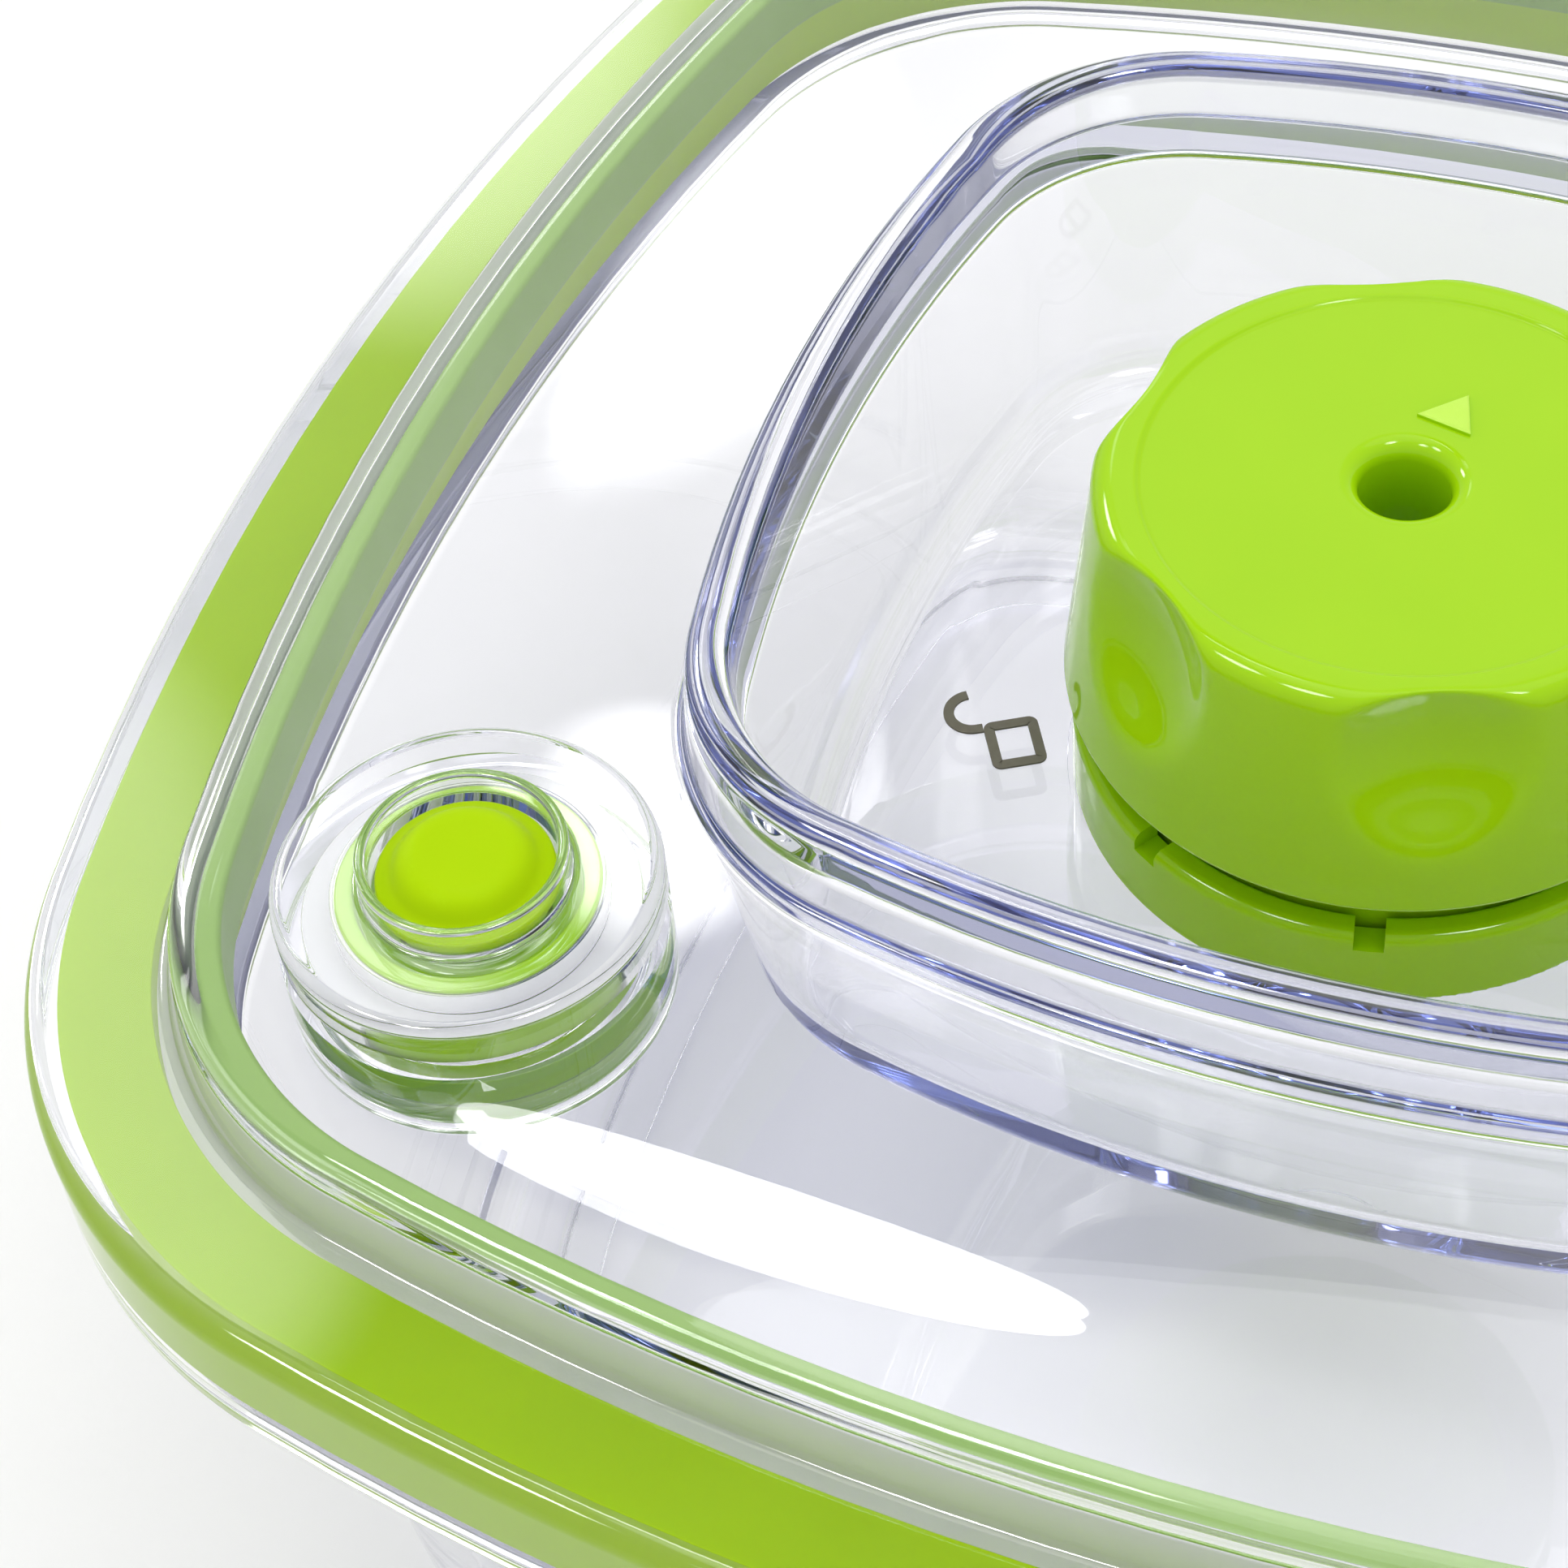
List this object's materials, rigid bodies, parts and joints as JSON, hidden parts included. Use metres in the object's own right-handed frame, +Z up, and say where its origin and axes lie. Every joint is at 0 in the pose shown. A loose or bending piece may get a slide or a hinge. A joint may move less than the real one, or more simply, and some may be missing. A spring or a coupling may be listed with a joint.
{
  "type": "vacuum seal canister",
  "caption": "Clear square vacuum food canister with a green rim gasket, a turning valve knob in a dish and a sprung vacuum release button.",
  "frame": {"origin": "centre of the foot ring, on the plane the canister stands on", "axes": "+Z up, +X and +Y square to the canister's sides, the release button in the -X -Y corner"},
  "size_m": [0.1632, 0.1632, 0.0811],
  "materials": {
    "clear_copolyester": "clear, polished",
    "green_silicone": "satin, slightly translucent",
    "green_abs": "gloss",
    "grey_ink": "printed, matt",
    "white_silicone": "satin",
    "white_acetal": "satin",
    "spring_steel": "drawn wire"
  },
  "bodies": {
    "container": {"container_body": "clear_copolyester"},
    "lid": {"lid_shell": "clear_copolyester", "lid_dish": "clear_copolyester", "rim_gasket": "green_silicone", "unlock_mark": "grey_ink", "lock_mark": "grey_ink", "valve_base": "green_abs", "base_seal": "white_silicone", "lock_nut": "green_abs", "valve_seat": "white_silicone", "gland_collar": "white_acetal", "release_body": "green_abs", "plug_o_ring": "green_silicone", "release_spring": "spring_steel", "release_retainer": "green_abs"},
    "knob": {"knob_cap": "green_abs", "valve_stem": "white_acetal", "stem_o_ring": "white_silicone"},
    "button": {"release_button": "green_silicone", "release_pin": "white_acetal", "release_poppet": "white_silicone"}
  },
  "joints": [
    {"name": "lid_lift", "type": "slide", "parent": "container", "child": "lid", "axis": [0, 0, 1], "range_m": [0, 0.06]},
    {"name": "knob_turn", "type": "hinge", "parent": "lid", "child": "knob", "pos_m": [0, 0, 0.0605], "axis": [0, 0, 1], "range_deg": [-90, 0]},
    {"name": "button_press", "type": "slide", "parent": "lid", "child": "button", "axis": [0, 0, -1], "range_m": [0, 0.002], "stiffness_N_per_m": 600, "springref_m": -0.001, "deforming": ["release_spring"]}
  ]
}
